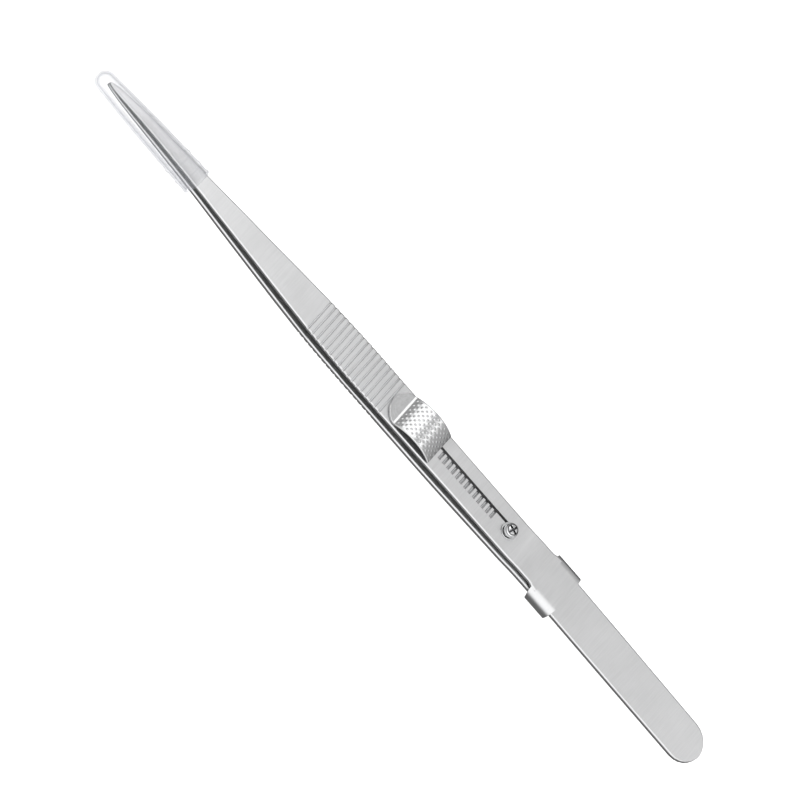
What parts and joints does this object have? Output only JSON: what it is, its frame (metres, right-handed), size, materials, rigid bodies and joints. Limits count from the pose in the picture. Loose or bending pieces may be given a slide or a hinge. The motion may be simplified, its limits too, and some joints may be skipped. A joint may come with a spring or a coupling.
{
  "type": "slide-lock tweezers",
  "caption": "Steel slide-lock tweezers with tapered leaves, grip grooves, a knurled thumb slide, stop screw, folded clip and clear tip cap.",
  "frame": {"origin": "centre of the bounding box in X and Y, at its lowest level in Z, which is the underside of the cap's mouth", "axes": "+X runs from the tips to the rounded tail, +Z points out of the front leaf's face, Y is across the leaves"},
  "size_m": [0.1624, 0.0104, 0.0067],
  "materials": {
    "satin_steel": "satin, fine cross-brushed grain",
    "bright_steel": "bright, lightly worn",
    "clear_plastic": "clear, slightly milky soft plastic"
  },
  "bodies": {
    "front": {"front_leaf": "satin_steel", "rear_leaf_tail": "satin_steel", "stop_screw": "bright_steel", "screw_bush": "bright_steel"},
    "rear": {"rear_leaf": "satin_steel"},
    "lock": {"thumb_slide": "satin_steel", "slide_tang": "satin_steel", "slide_foot": "satin_steel"},
    "cap": {"tip_cap": "clear_plastic"}
  },
  "joints": [
    {"name": "slide_travel", "type": "slide", "parent": "front", "child": "lock", "axis": [1, 0, 0], "range_m": [0, 0.0172]},
    {"name": "leaf_opening", "type": "hinge", "parent": "front", "child": "rear", "pos_m": [0.03705, 0, 0.00297], "axis": [0, -1, 0], "range_deg": [0, 3.7], "deforming": ["tip_cap"]},
    {"name": "cap_pull", "type": "slide", "parent": "front", "child": "cap", "axis": [-1, 0, 0], "range_m": [0, 0.03]}
  ],
  "couplings": [
    {"joint": "leaf_opening", "follows": "slide_travel", "rad_per_m": 3.754}
  ]
}
